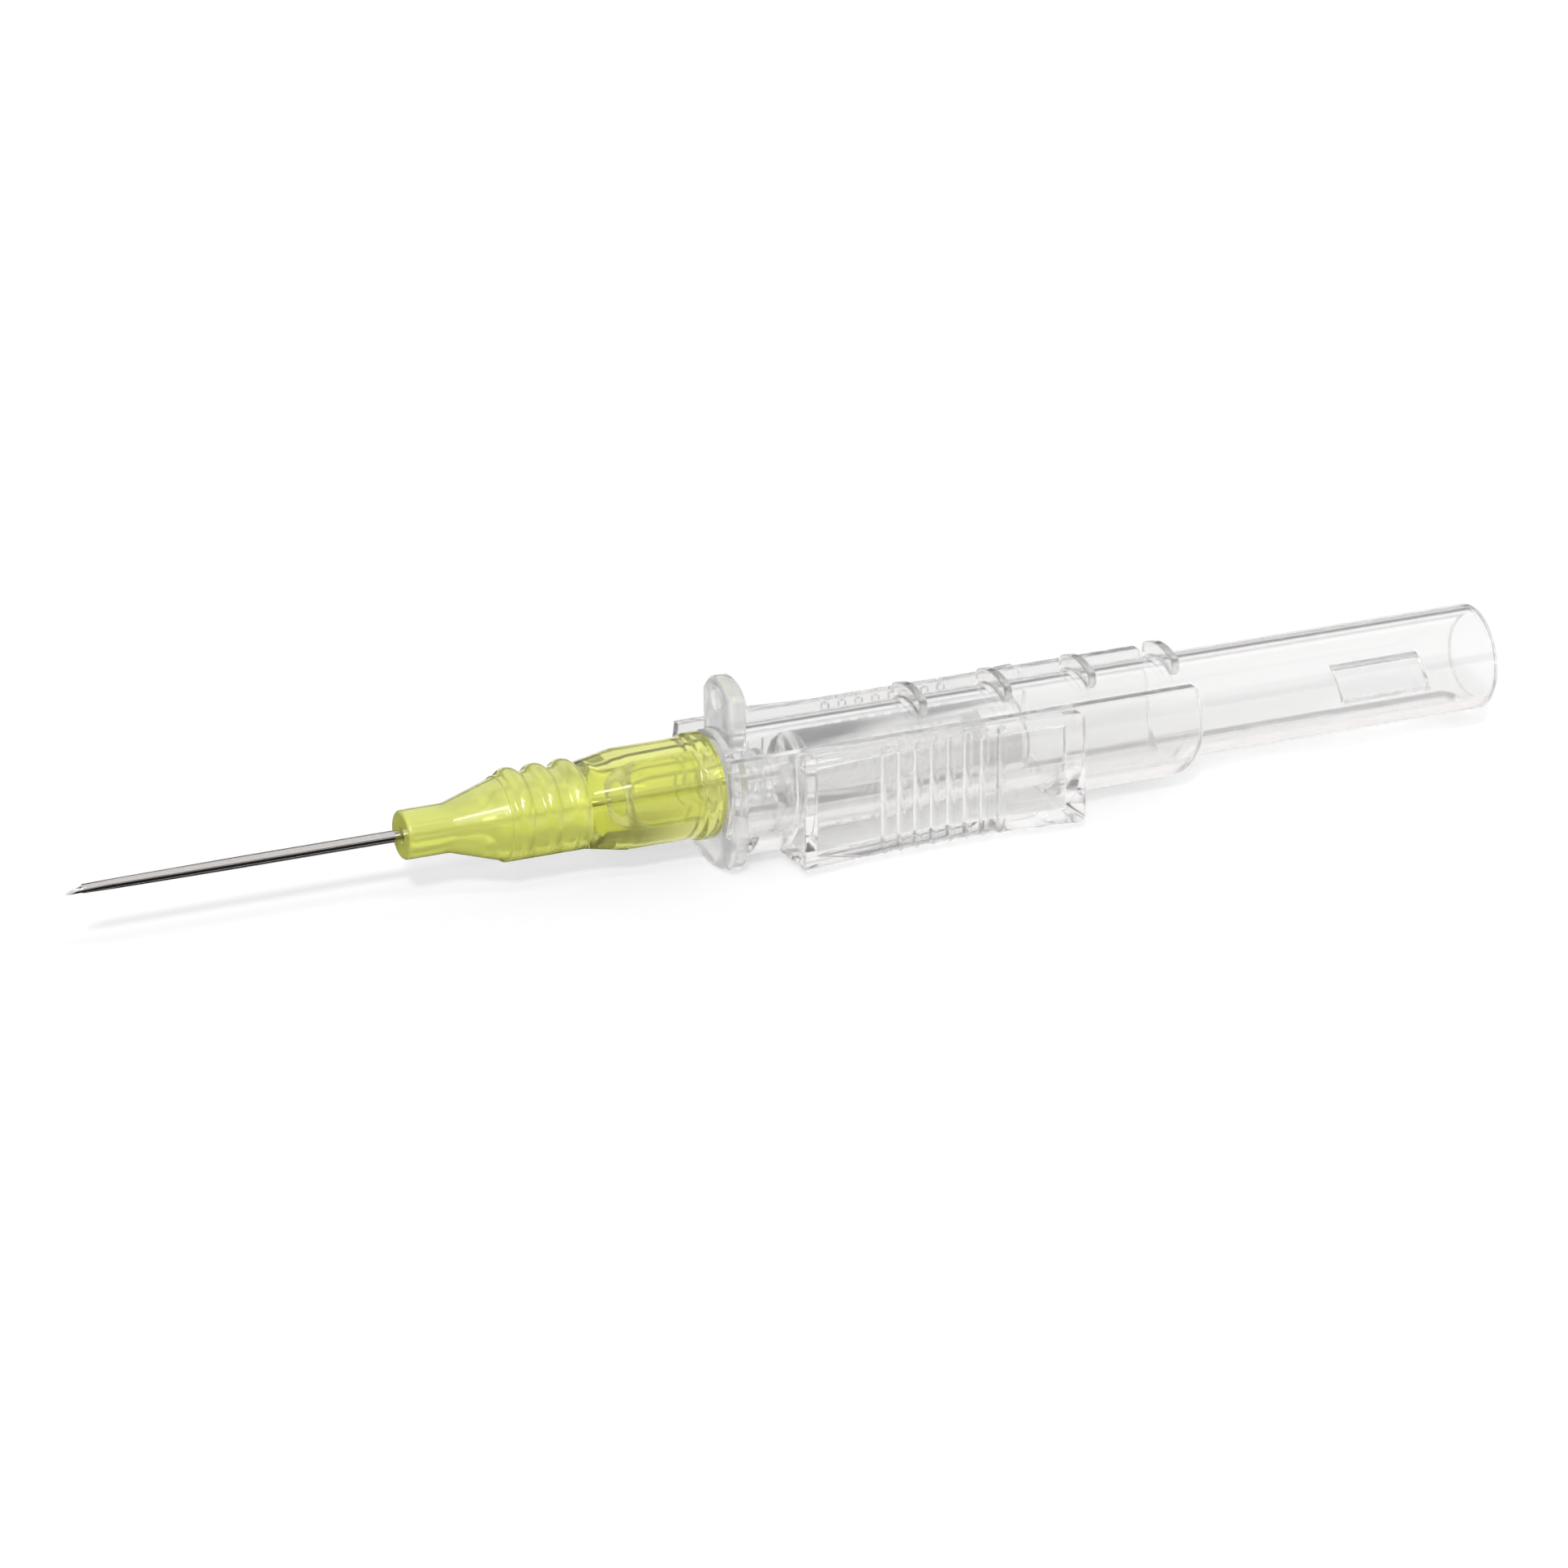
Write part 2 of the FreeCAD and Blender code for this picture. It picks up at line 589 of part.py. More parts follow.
def make_needle_guard():
    """Clear guard: a nose for the hub's socket, the plate, and a long slotted tube."""
    body = new_body("needle_guard")
    add_push_off_tab(body)
    add_guard_plate(body)
    nose_mouth = S.socket_radius - S.nose_clearance
    nose_tip = nose_mouth - S.socket_taper * S.guard_nose_length
    turn(body, "guard_outside", [
        (-S.guard_nose_length, 0),
        (-S.guard_nose_length, nose_tip - S.guard_nose_chamfer),
        (-S.guard_nose_length + S.guard_nose_chamfer, nose_tip),
        (0, nose_mouth),
        (S.plate_gap, nose_mouth),
        (S.plate_gap, S.guard_radius),
        (guard_end, S.guard_radius),
        (guard_end, 0),
    ])
    add_guard_ribs(body)
    groove(body, "guard_inside", [
        (-S.guard_nose_length, 0),
        (-S.guard_nose_length, S.guard_nose_bore),
        (plate_back, S.guard_nose_bore),
        (plate_back, guard_bore),
        (guard_end, guard_bore),
        (guard_end, 0),
    ])
    cut_guard_windows(body)
    return body


# The channel with its grips and flash chamber

def wall_touch(half, radius):
    """Where a wall that comes down from half its width at the channel's top touches the
    round floor: the tangent point on a circle from a point outside it."""
    square = half * half + S.housing_top * S.housing_top
    reach = root(square - radius * radius)
    y = (radius * radius * half + radius * S.housing_top * reach) / square
    z = (radius * radius * S.housing_top - radius * half * reach) / square
    return y, z


def channel_section(half, radius, above=0):
    """Section of a round-floored channel, from its top edge and round its floor."""
    y, z = wall_touch(half, radius)
    section = [
        (half, S.housing_top),
        (y, z),
        (-y, z, 0, -radius),
        (-half, S.housing_top),
    ]
    if above:
        section += [(-half, S.housing_top + above), (half, S.housing_top + above)]
    return section


def grip_half(x):
    """Half width over the grips at x: a long hollow arc with its waist near the middle."""
    away = x - (S.grip_front + S.grip_waist_place)
    return S.grip_waist_half + S.grip_sweep - root(S.grip_sweep * S.grip_sweep - away * away)


def grip_plan(front, back, skin):
    """Plan of both grips between front and back, less a skin on each side."""
    waist = S.grip_front + S.grip_waist_place
    middle_half = S.grip_waist_half - skin
    front_half = grip_half(front) - skin
    back_half = grip_half(back) - skin
    return [
        (front, front_half),
        (back, back_half, waist, middle_half),
        (back, -back_half),
        (front, -front_half, waist, -middle_half),
    ]


def add_grip_block(body):
    """The block of both grips, with its upper and lower rear corners rounded."""
    plan = new_sketch(body, "grip_plan", "XY_Plane", along=-S.grip_bottom)
    draw(plan, grip_plan(S.grip_front, grip_back, 0))
    block = pad(body, "grip_block", plan, S.grip_bottom + S.grip_top)

    def rear_corner(box):
        """Whether an edge lies level along the rear end."""
        return box.ZLength < 0.01 and box.XMin > grip_back.value - 0.01

    soften(body, "Fillet", "grip_corners", block, S.grip_corner, rear_corner)


def add_channel_outside(body):
    """The outer form of the round trough and of its wider front."""
    trough = new_sketch(body, "trough_section", "YZ_Plane", along=floor_front)
    draw(trough, channel_section(housing_radius - S.channel_lean, housing_radius))
    pad(body, "trough", trough, housing_end - floor_front)
    bell = new_sketch(body, "bell_section", "YZ_Plane", along=-S.housing_lead)
    draw(bell, channel_section(bell_radius - S.bell_lean, bell_radius))
    pad(body, "bell", bell, S.housing_lead + S.grip_front)


def cut_channel_inside(body):
    """Hollow the channel, its wider front and the grips, and trim the two ends."""
    above = 2
    trough = new_sketch(body, "trough_inside", "YZ_Plane", along=-S.housing_lead)
    draw(trough, channel_section(channel_bore - S.channel_lean, channel_bore, above))
    pocket(body, "trough_hollow", trough, S.housing_length, along_normal=True)
    bell = new_sketch(body, "bell_inside", "YZ_Plane", along=-S.housing_lead)
    draw(bell, channel_section(bell_bore - S.bell_lean, bell_bore))
    pocket(body, "bell_hollow", bell, S.housing_lead + S.grip_front, along_normal=True)
    roof = S.grip_top - S.grip_roof
    grips = new_sketch(body, "grip_hollow_plan", "XY_Plane", along=roof)
    front = S.grip_front + S.grip_end_wall
    draw(grips, grip_plan(front, grip_back - S.grip_end_wall, S.grip_skin))
    pocket(body, "grip_hollows", grips, roof + S.grip_bottom - S.grip_floor)
    relief = new_sketch(body, "lobe_relief_outline", "XZ_Plane")
    ahead = -S.housing_lead - 1
    below = -bell_radius - 1
    draw(relief, [
        (ahead, -S.bell_relief_top),
        (floor_front, -S.bell_relief_top),
        (floor_front, below),
        (ahead, below),
    ])
    pocket(body, "lobe_relief", relief, bell_radius * 3, both_ways=True)
    trim_rear(body)


def trim_rear(body):
    """Shape the channel's rear edge, seen from the side: round corners and a bulge."""
    rear = housing_end - S.rear_bulge
    low = -housing_radius
    beyond = housing_end + 1
    upper = rounded(rear, S.housing_top, S.rear_round, -1, -1, "x")
    lower = rounded(rear, low, S.rear_foot, -1, 1, "y")
    outline = new_sketch(body, "rear_outline", "XZ_Plane")
    draw(outline, [
        *upper,
        (*lower[0], housing_end, 0),
        lower[1],
        (rear - S.rear_foot, low - 2),
        (beyond, low - 2),
        (beyond, S.housing_top + 1),
        (rear - S.rear_round, S.housing_top + 1),
    ])
    pocket(body, "rear_trim", outline, housing_radius * 3, both_ways=True)


def add_grip_ribs(body):
    """Upright half-round ribs with pointed ends that follow the grips' hollow curve."""
    ribs = []
    top = S.grip_top - S.grip_rib_top
    foot = S.grip_rib_foot - S.grip_bottom
    radius = S.grip_rib_radius
    for number in range(int(S.grip_rib_count.value)):
        x = S.grip_front + S.grip_rib_first + S.grip_rib_pitch * number
        profile = new_sketch(body, f"grip_rib_profile_{number}", "XZ_Plane", along=grip_half(x), shift=x)
        draw(profile, [
            (0, foot - S.grip_rib_point),
            (radius, foot),
            (radius, top),
            (0, top + S.grip_rib_point),
        ])
        ribs.append(turn_sketch(body, f"grip_rib_{number}", profile, axis="V_Axis"))
    mirror_across(body, "grip_ribs_far", ribs)


def add_chamber(body):
    """The flash chamber on its web, with the nose that holds the needle."""
    web = new_sketch(body, "web_plan", "XY_Plane", along=-floor_middle)
    draw(web, [
        (S.chamber_front, -S.web_half),
        (S.chamber_front + S.web_length, -S.web_half),
        (S.chamber_front + S.web_length, S.web_half),
        (S.chamber_front, S.web_half),
    ])
    pad(body, "web", web, floor_middle - chamber_bore)
    ring_front = chamber_nose + S.chamber_ring_place
    ring_back = ring_front + S.chamber_ring_width
    turn(body, "chamber_outside", [
        (chamber_nose, 0),
        (chamber_nose, S.chamber_nose_radius),
        (ring_front, S.chamber_nose_radius),
        (ring_front, S.chamber_ring_radius),
        (ring_back, S.chamber_ring_radius),
        (ring_back, S.chamber_nose_radius),
        (S.chamber_front, S.chamber_nose_radius),
        (S.chamber_front, chamber_radius - S.chamber_chamfer),
        (S.chamber_front + S.chamber_chamfer, chamber_radius),
        (chamber_back, chamber_radius),
        (chamber_back, 0),
    ])
    add_lock_wing(body)
    held = S.needle_radius + S.bond_slip
    groove(body, "chamber_inside", [
        (chamber_nose, 0),
        (chamber_nose, held),
        (needle_end, held),
        (needle_end, chamber_bore),
        (chamber_back, chamber_bore),
        (chamber_back, 0),
    ])


def add_lock_wing(body):
    """The thin wing on the chamber's near side that locks into the guard's window."""
    inner = S.wing_root - chamber_radius
    outer = S.wing_gap - guard_bore
    sketch = new_sketch(body, "wing_plan", "XY_Plane")
    draw(sketch, [
        (wing_front, inner),
        (wing_front, outer),
        (wing_front + S.wing_length, outer),
        (wing_front + S.wing_length, inner),
    ])
    wing = turn_sketch(body, "lock_wing", sketch)
    wing.Type = "TwoAngles"
    wing.Reversed = True
    bind(wing, "Angle", S.wing_rise)
    bind(wing, "Angle2", S.wing_drop)


def make_needle_housing():
    """Clear channel with hollow grips, and the flash chamber standing on its floor."""
    body = new_body("needle_housing")
    add_grip_block(body)
    add_channel_outside(body)
    cut_channel_inside(body)
    add_chamber(body)
    add_grip_ribs(body)
    return body


def make_vent_plug():
    """Porous plug that lets air, but no blood, out of the flash chamber."""
    body = new_body("vent_plug")
    back = chamber_back - S.plug_inset
    front = back - S.plug_length
    radius = chamber_bore - S.plug_slip
    turn(body, "plug", [(front, 0), (front, radius), (back, radius), (back, 0)])
    return body


def check_document(bodies):
    """Stop if any object failed, or any body is not one valid solid."""
    for item in document.Objects:
        if "Invalid" in item.State or "Error" in item.State:
            raise RuntimeError(f"{item.Name} failed: {item.State}")
    for body in bodies:
        shape = body.Shape
        if shape.isNull() or not shape.isValid() or len(shape.Solids) != 1:
            raise RuntimeError(f"{body.Label} is not one valid solid")


document = FreeCAD.newDocument("safety_iv_cannula")
S = make_sheet(document)

# Places along the needle's axis, from the hub's rear face forwards
collar_front = -S.hub_collar_width
barrel_front = collar_front - S.hub_barrel_length
hub_grip_back = barrel_front - S.hub_flare_length
hub_grip_front = hub_grip_back - S.hub_grip_length
cone_front = hub_grip_front - S.hub_cone_length
hub_front = cone_front - S.hub_nose_length
catheter_tip = hub_front - S.catheter_length
needle_tip = catheter_tip - S.needle_lead
seat = hub_front + S.hub_seat_depth
flare_front = seat - S.ferrule_throat - S.flare_run

# Places along the needle's axis, from the hub's rear face backwards
plate_back = S.plate_gap + S.plate_thickness
tab_front = S.plate_gap + S.tab_setback
floor_front = plate_back + S.bell_relief
housing_end = S.housing_length - S.housing_lead
grip_back = S.grip_front + S.grip_length
chamber_nose = S.chamber_front - S.chamber_nose_length
chamber_back = S.chamber_front + S.chamber_length
needle_end = S.chamber_front + S.chamber_end_wall
wing_front = S.chamber_front - S.wing_lead
window_front = wing_front + S.guard_travel - S.window_margin
window_back = wing_front + S.wing_length + S.guard_travel + S.window_margin
guard_end = window_back + S.guard_tail
middle = (guard_end + needle_tip) / 2

# Radii that follow from others
tube_bore = S.needle_radius + S.catheter_slip
ferrule_bore = S.needle_radius + S.ferrule_slip
guard_bore = S.guard_radius - S.guard_wall
chamber_radius = guard_bore - S.chamber_gap
chamber_bore = chamber_radius - S.chamber_wall
channel_bore = S.guard_radius + S.channel_gap
housing_radius = channel_bore + S.housing_wall
floor_middle = channel_bore + S.housing_wall / 2
relief_corner = S.plate_half * S.plate_half + S.bell_relief_top * S.bell_relief_top
bell_bore = root(relief_corner) + S.bell_gap
bell_radius = bell_bore + S.bell_wall

bodies = [
    make_needle(),
    make_catheter_tube(),
    make_tube_ferrule(),
    make_catheter_hub(),
    make_needle_guard(),
    make_needle_housing(),
    make_vent_plug(),
]
document.recompute()
check_document(bodies)
os.makedirs("parts", exist_ok=True)
for body in bodies:
    body.Shape.exportStep(f"parts/{body.Label}.step")
    box = body.Shape.BoundBox
    print(f"{body.Label}: volume {body.Shape.Volume:.3f}, X {box.XMin:.2f} to {box.XMax:.2f}, "
          f"Y {box.YMin:.2f} to {box.YMax:.2f}, Z {box.ZMin:.2f} to {box.ZMax:.2f}")
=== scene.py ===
"""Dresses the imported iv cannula: a steel needle in a thin catheter on a lime hub, a clear
guard tube, and a clear channel with finger grips and a flash chamber.

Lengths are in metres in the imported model's frame: X runs along the needle from its tip to
the rear of the guard, Z is up, and the needle's axis lies at y = 0, z = AXIS_HEIGHT.
"""

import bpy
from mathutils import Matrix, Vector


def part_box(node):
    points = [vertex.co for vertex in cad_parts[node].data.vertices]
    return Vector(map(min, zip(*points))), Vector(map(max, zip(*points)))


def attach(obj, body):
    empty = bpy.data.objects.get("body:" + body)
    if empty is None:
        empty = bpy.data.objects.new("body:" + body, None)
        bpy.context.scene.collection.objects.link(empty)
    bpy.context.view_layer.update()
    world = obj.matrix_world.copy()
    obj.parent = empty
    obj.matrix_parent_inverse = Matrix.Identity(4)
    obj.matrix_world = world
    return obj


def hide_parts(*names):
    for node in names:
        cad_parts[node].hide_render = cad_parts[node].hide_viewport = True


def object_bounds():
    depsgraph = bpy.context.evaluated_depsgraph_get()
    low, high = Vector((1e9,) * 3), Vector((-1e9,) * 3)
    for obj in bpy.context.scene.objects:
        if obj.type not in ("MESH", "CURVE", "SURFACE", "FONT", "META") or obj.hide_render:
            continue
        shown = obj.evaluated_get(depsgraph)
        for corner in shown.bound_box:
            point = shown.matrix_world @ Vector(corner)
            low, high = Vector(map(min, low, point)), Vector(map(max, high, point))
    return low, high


bl_info = {
    "name": "Safety iv cannula",
    "version": (1, 0, 0),
    "blender": (4, 5, 0),
    "location": "3D View > Sidebar > Cannula",
    "description": "Builds the visible pieces of a safety iv cannula on its packed solids",
    "category": "Object",
}

import math

import bmesh
import bpy
import numpy as np
from bpy.props import FloatProperty, FloatVectorProperty, PointerProperty
from mathutils import Matrix, Vector

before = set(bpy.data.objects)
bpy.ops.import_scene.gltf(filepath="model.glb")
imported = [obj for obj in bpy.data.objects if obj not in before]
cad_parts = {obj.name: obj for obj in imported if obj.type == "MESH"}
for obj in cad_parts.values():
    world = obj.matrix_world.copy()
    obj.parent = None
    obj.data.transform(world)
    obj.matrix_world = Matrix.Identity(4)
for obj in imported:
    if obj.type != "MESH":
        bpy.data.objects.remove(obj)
CAD_BOX = [list(map(float, corner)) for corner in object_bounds()]

MM = 0.001
NEEDLE_LOW, NEEDLE_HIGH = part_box("needle")
AXIS_HEIGHT = (NEEDLE_LOW[2] + NEEDLE_HIGH[2]) / 2
HUB_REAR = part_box("catheter_hub")[1][0]

# Profiles as (x, radius) in millimetres, with x measured from the rear face of the hub
NEEDLE_PROFILE = [(-39.8, 0.13), (-39.8, 0.225), (5.9, 0.225), (5.9, 0.13)]
NEEDLE_BEVEL = 1.25
TUBE_PROFILE = [
    (-38.8, 0.245), (-38.8, 0.265), (-36.8, 0.3), (-29, 0.35), (-16.2, 0.35), (-15.8, 0.44),
    (-14.39, 0.44), (-14.39, 0.335), (-15.8, 0.335), (-16.2, 0.245),
]
FERRULE_PROFILE = [
    (-15.8, 0.26), (-14.3, 0.26), (-13.6, 0.65), (-13.6, 0.72), (-14.3, 0.33), (-15.8, 0.33),
]
HUB_PROFILE = [
    (-19.35, 0.355), (-19.35, 1.34), (-19.23, 1.46), (-16.55, 1.46), (-13.3, 2.45),
    (-13.3, 2.55), (-8.2, 2.55), (-5.7, 3.02), (-1.36, 3.02), (-1.18, 3.21), (-0.18, 3.21),
    (0, 3.03), (0, 2.15), (-7.4, 1.928), (-8.4, 1.15), (-13.175, 1.15), (-13.6, 0.725),
    (-14.3, 0.445), (-15.8, 0.445), (-16.2, 0.355),
]
PLUG_PROFILE = [(17.4, 0), (17.4, 1.74), (19.6, 1.74), (19.6, 0)]

# The hub's ribs: their places along x, their crest's and section's radius and their axis's lift
RIB_PLACES = (-12.4, -10.68, -8.96)
RIB_CREST = 2.72
RIB_RADIUS = 0.66
RIB_RISE = 0.2

# Where along x the hub's front is frosted and the guard's plate is satin
FROST_REACH = (-20, -8.3)
PLATE_REACH = (-0.01, 1.9)

# Roughness and transmission of the clear mouldings, and how round their edges look
POLISHED = (0.03, 0.95)
SATIN = (0.05, 0.72)
EDGE_RADIUS = 0.00018

# The floor: the distances over which it turns plain white and over which it is painted grey
# through clear plastic, each with its shares at the near and far end, and the places along X
# between which its painted dark reflection under the needle ends, with that reflection's levels
WHITE = (1, 1, 1, 1)
FLOOR_GAP = 0.00002
WHITE_REACH = (0.075, 0.16)
WHITE_SHARES = (0.3, 1)
WHITE_LEVEL = 1.24
# Painted shade: rays through clear plastic see the floor mixed toward grey near the object, which
# greys the clear mouldings
PAINTED_SHADE_REACH = (0.03, 0.055)
PAINTED_SHADE_SHARES = (0.24, 0.12)
PAINTED_SHADE_LEVEL = 0.4
# Painted reflection: mirrored rays see the floor nearly black in front of the hub, which darkens
# the lower half of the needle and catheter
PAINTED_REFLECTION_REACH = (-0.011, -0.005)
PAINTED_REFLECTION_LEVELS = (0.015, 0.95)
PAINTED_REFLECTION_COLOUR = (1, 0.97, 0.96, 1)

# The sky as glossy and transmission rays see it: the sine of the height and a grey level
SKY_BANDS = ((0.0, 1.0), (0.07, 1.0), (0.11, 0.06), (0.325, 0.06), (0.35, 1.0))
SKY_LIGHT = 0.55


# Sizes and colours that a user would change

class CannulaSizes(bpy.types.PropertyGroup):
    """Small sizes that the solids leave out."""
    crease_angle: FloatProperty(
        name="Crease angle", description="Edges sharper than this stay sharp",
        default=math.radians(47), subtype="ANGLE")
    camera_distance: FloatProperty(
        name="Camera distance", description="Camera to the rear face of the hub",
        default=0.4286, unit="LENGTH")
    camera_azimuth: FloatProperty(
        name="Camera azimuth", description="Camera's direction round the object",
        default=math.radians(-25.1), subtype="ANGLE")
    camera_elevation: FloatProperty(
        name="Camera elevation", description="Camera's height above the horizon",
        default=math.radians(21.1), subtype="ANGLE")
    camera_lens: FloatProperty(
        name="Camera lens", description="Focal length on a 36 mm sensor", default=167.7)
    camera_slide: FloatProperty(
        name="Camera slide", description="How far the camera is moved to its right",
        default=0.00457, unit="LENGTH")


class CannulaColours(bpy.types.PropertyGroup):
    """Colours of the mouldings and the metal."""
    hub: FloatVectorProperty(
        name="Hub", description="Lime plastic of the hub", subtype="COLOR",
        size=3, min=0, max=1, default=(0.89, 0.92, 0.28))
    frosted: FloatVectorProperty(
        name="Frosted hub", description="Lime plastic of the hub's front", subtype="COLOR",
        size=3, min=0, max=1, default=(0.81, 0.85, 0.19))
    clear: FloatVectorProperty(
        name="Clear plastic", description="Tint of the clear mouldings", subtype="COLOR",
        size=3, min=0, max=1, default=(0.982, 0.982, 0.98))
    catheter: FloatVectorProperty(
        name="Catheter", description="Thin polymer tube", subtype="COLOR",
        size=3, min=0, max=1, default=(0.94, 0.925, 0.915))
    steel: FloatVectorProperty(
        name="Steel", description="Needle and ferrule", subtype="COLOR",
        size=3, min=0, max=1, default=(0.70, 0.69, 0.69))
    plug: FloatVectorProperty(
        name="Vent plug", description="Porous white plug", subtype="COLOR",
        size=3, min=0, max=1, default=(0.86, 0.86, 0.84))


def sizes():
    """The scene's sizes."""
    return bpy.context.scene.cannula_sizes


def colours():
    """The scene's colours."""
    return bpy.context.scene.cannula_colours


# Surfaces

def eased(points, reach, steps=4):
    """A closed line whose corners are softened. Each corner gives way to the curve
    (1-t)(1-t) start + 2t(1-t) corner + t t end, where start and end lie on its two sides at
    the distance reach, or at 0.45 of the shorter side if that is less."""
    points = np.asarray(points, float)
    share = np.linspace(0, 1, steps)[:, None]
    rows = []
    for place, corner in enumerate(points):
        back = points[place - 1] - corner
        ahead = points[(place + 1) % len(points)] - corner
        lengths = np.linalg.norm(back), np.linalg.norm(ahead)
        away = min(reach, 0.45 * min(lengths))
        start = corner + back / lengths[0] * away
        end = corner + ahead / lengths[1] * away
        rows.append((1 - share) ** 2 * start + 2 * share * (1 - share) * corner + share ** 2 * end)
    return np.concatenate(rows)


def divided(points, longest):
    """A closed line cut evenly wherever one of its steps is longer than longest."""
    rows = []
    for place, end in enumerate(points):
        start = points[place - 1]
        count = max(1, math.ceil(np.linalg.norm(end - start) / longest))
        share = np.arange(1, count + 1)[:, None] / count
        rows.append(start + (end - start) * share)
    return np.concatenate(rows)


def ring_grid(profile, turns):
    """The grid of a turned surface: x and radius from the profile's point, and the angle
    from the top, evenly spaced, across each row."""
    angle = np.linspace(0, 2 * np.pi, turns, endpoint=False)[None, :]
    x = profile[:, :1] + 0 * angle
    radius = profile[:, 1:] + 0 * angle
    return x, radius, angle


def rib_radius(x, radius, angle):
    """The hub's radius with its ribs. A rib is a ring of round section about an axis that
    lies a little above the needle: its crest at x is the crest radius less the section's
    sagitta there, and seen from the needle at an angle a it reaches
    rise cos a + sqrt(crest crest - rise rise sin a sin a). The larger radius counts."""
    tallest = radius.copy()
    for place in RIB_PLACES:
        section = np.sqrt(np.clip(RIB_RADIUS ** 2 - (x - place) ** 2, 0, None))
        crest = RIB_CREST - RIB_RADIUS + section
        reach = RIB_RISE * np.cos(angle) + np.sqrt(crest ** 2 - (RIB_RISE * np.sin(angle)) ** 2)
        near = np.abs(x - place) < RIB_RADIUS
        tallest = np.where(near & (radius > 2), np.maximum(tallest, reach), tallest)
    return tallest


def ground_point(x, radius, angle):
    """The needle's rows moved back to its ground plane. The plane lies at
    tip + bevel (radius cos a + R) / 2R, where R is the needle's radius, and every row
    keeps its share of the way from there to the needle's end."""
    tip, end = x.min(), x.max()
    widest = radius.max()
    plane = tip + NEEDLE_BEVEL * (radius * np.cos(angle) + widest) / (2 * widest)
    return plane + (x - tip) / (end - tip) * (end - plane)


def merge_doubles(mesh, turn_outward):
    """Merge the vertices that lie in one place, and turn the faces outward if asked."""
    work = bmesh.new()
    work.from_mesh(mesh)
    bmesh.ops.remove_doubles(work, verts=work.verts, dist=1e-7)
    if turn_outward:
        bmesh.ops.recalc_face_normals(work, faces=work.faces)
    work.to_mesh(mesh)
    work.free()


def surface(name, x, radius, angle, closed=True):
    """A mesh through the points (x, radius sin a, radius cos a) about the needle's axis,
    with quads between neighbouring rows and columns. A closed grid joins its last row to
    its first, and an open one has its poles merged."""
    points = np.stack([
        HUB_REAR + MM * x,
        MM * radius * np.sin(angle),
        AXIS_HEIGHT + MM * radius * np.cos(angle),
    ], axis=-1)
    rows, columns = x.shape
    number = np.arange(rows * columns).reshape(rows, columns)
    if closed:
        number = np.vstack([number, number[:1]])
    beside = np.roll(number, -1, axis=1)
    quads = np.stack([number[:-1], beside[:-1], beside[1:], number[1:]], axis=-1)
    mesh = bpy.data.meshes.new(name)
    mesh.from_pydata(points.reshape(-1, 3).tolist(), [], quads.reshape(-1, 4).tolist())
    merge_doubles(mesh, turn_outward=True)
    return mesh


# Materials

def new_material(name):
    """A material with one Principled shader. Returns the material, its tree and shader."""
    material = bpy.data.materials.new(name)
    material.use_nodes = True
    tree = material.node_tree
    return material, tree, tree.nodes["Principled BSDF"]


def set_inputs(shader, **values):
    """Set sockets by name, with underscores for spaces."""
    for name, value in values.items():
        shader.inputs[name.replace("_", " ")].default_value = value


def rgba(colour):
    """A colour property with full alpha."""
    return (*colour, 1.0)


def math_node(tree, operation, first, second):
    """A clamped math node on two sockets or numbers. Returns its output."""
    node = tree.nodes.new("ShaderNodeMath")
    node.operation = operation
    node.use_clamp = True
    for place, value in enumerate((first, second)):
        if isinstance(value, (int, float)):
            node.inputs[place].default_value = value
        else:
            tree.links.new(value, node.inputs[place])
    return node.outputs[0]


def mapped(tree, value, reach, levels):
    """A value that goes from the first level to the second while another goes through its
    reach. Returns its socket."""
    node = tree.nodes.new("ShaderNodeMapRange")
    ends = ("From Min", "From Max", "To Min", "To Max")
    for name, number in zip(ends, (*reach, *levels)):
        node.inputs[name].default_value = number
    tree.links.new(value, node.inputs["Value"])
    return node.outputs["Result"]


def mixed(tree, share, first, second):
    """Two shaders mixed, with the second one's share. Returns its output."""
    node = tree.nodes.new("ShaderNodeMixShader")
    for place, socket in enumerate((share, first, second)):
        tree.links.new(socket, node.inputs[place])
    return node.outputs[0]


def glow(tree, colour, level):
    """Emission of a colour, with a number or a socket as its level. Returns its output."""
    node = tree.nodes.new("ShaderNodeEmission")
    node.inputs["Color"].default_value = colour
    if isinstance(level, float):
        node.inputs["Strength"].default_value = level
    else:
        tree.links.new(level, node.inputs["Strength"])
    return node.outputs[0]


def ripple_group():
    """Node group for fine unevenness: noise on Object coordinates bends a normal."""
    name = "Moulding ripple"
    group = bpy.data.node_groups.get(name)
    if group:
        return group
    group = bpy.data.node_groups.new(name, "ShaderNodeTree")
    for socket, kind in (("Scale", "Float"), ("Strength", "Float"), ("Distance", "Float"),
                         ("Normal", "Vector")):
        group.interface.new_socket(socket, in_out="INPUT", socket_type="NodeSocket" + kind)
    group.interface.new_socket("Normal", in_out="OUTPUT", socket_type="NodeSocketVector")
    nodes, links = group.nodes, group.links
    entry = nodes.new("NodeGroupInput")
    leave = nodes.new("NodeGroupOutput")
    place = nodes.new("ShaderNodeTexCoord")
    noise = nodes.new("ShaderNodeTexNoise")
    noise.inputs["Detail"].default_value = 3
    bump = nodes.new("ShaderNodeBump")
    links.new(place.outputs["Object"], noise.inputs["Vector"])
    links.new(entry.outputs["Scale"], noise.inputs["Scale"])
    links.new(noise.outputs["Fac"], bump.inputs["Height"])
    for socket in ("Strength", "Distance", "Normal"):
        links.new(entry.outputs[socket], bump.inputs[socket])
    links.new(bump.outputs["Normal"], leave.inputs["Normal"])
    return group


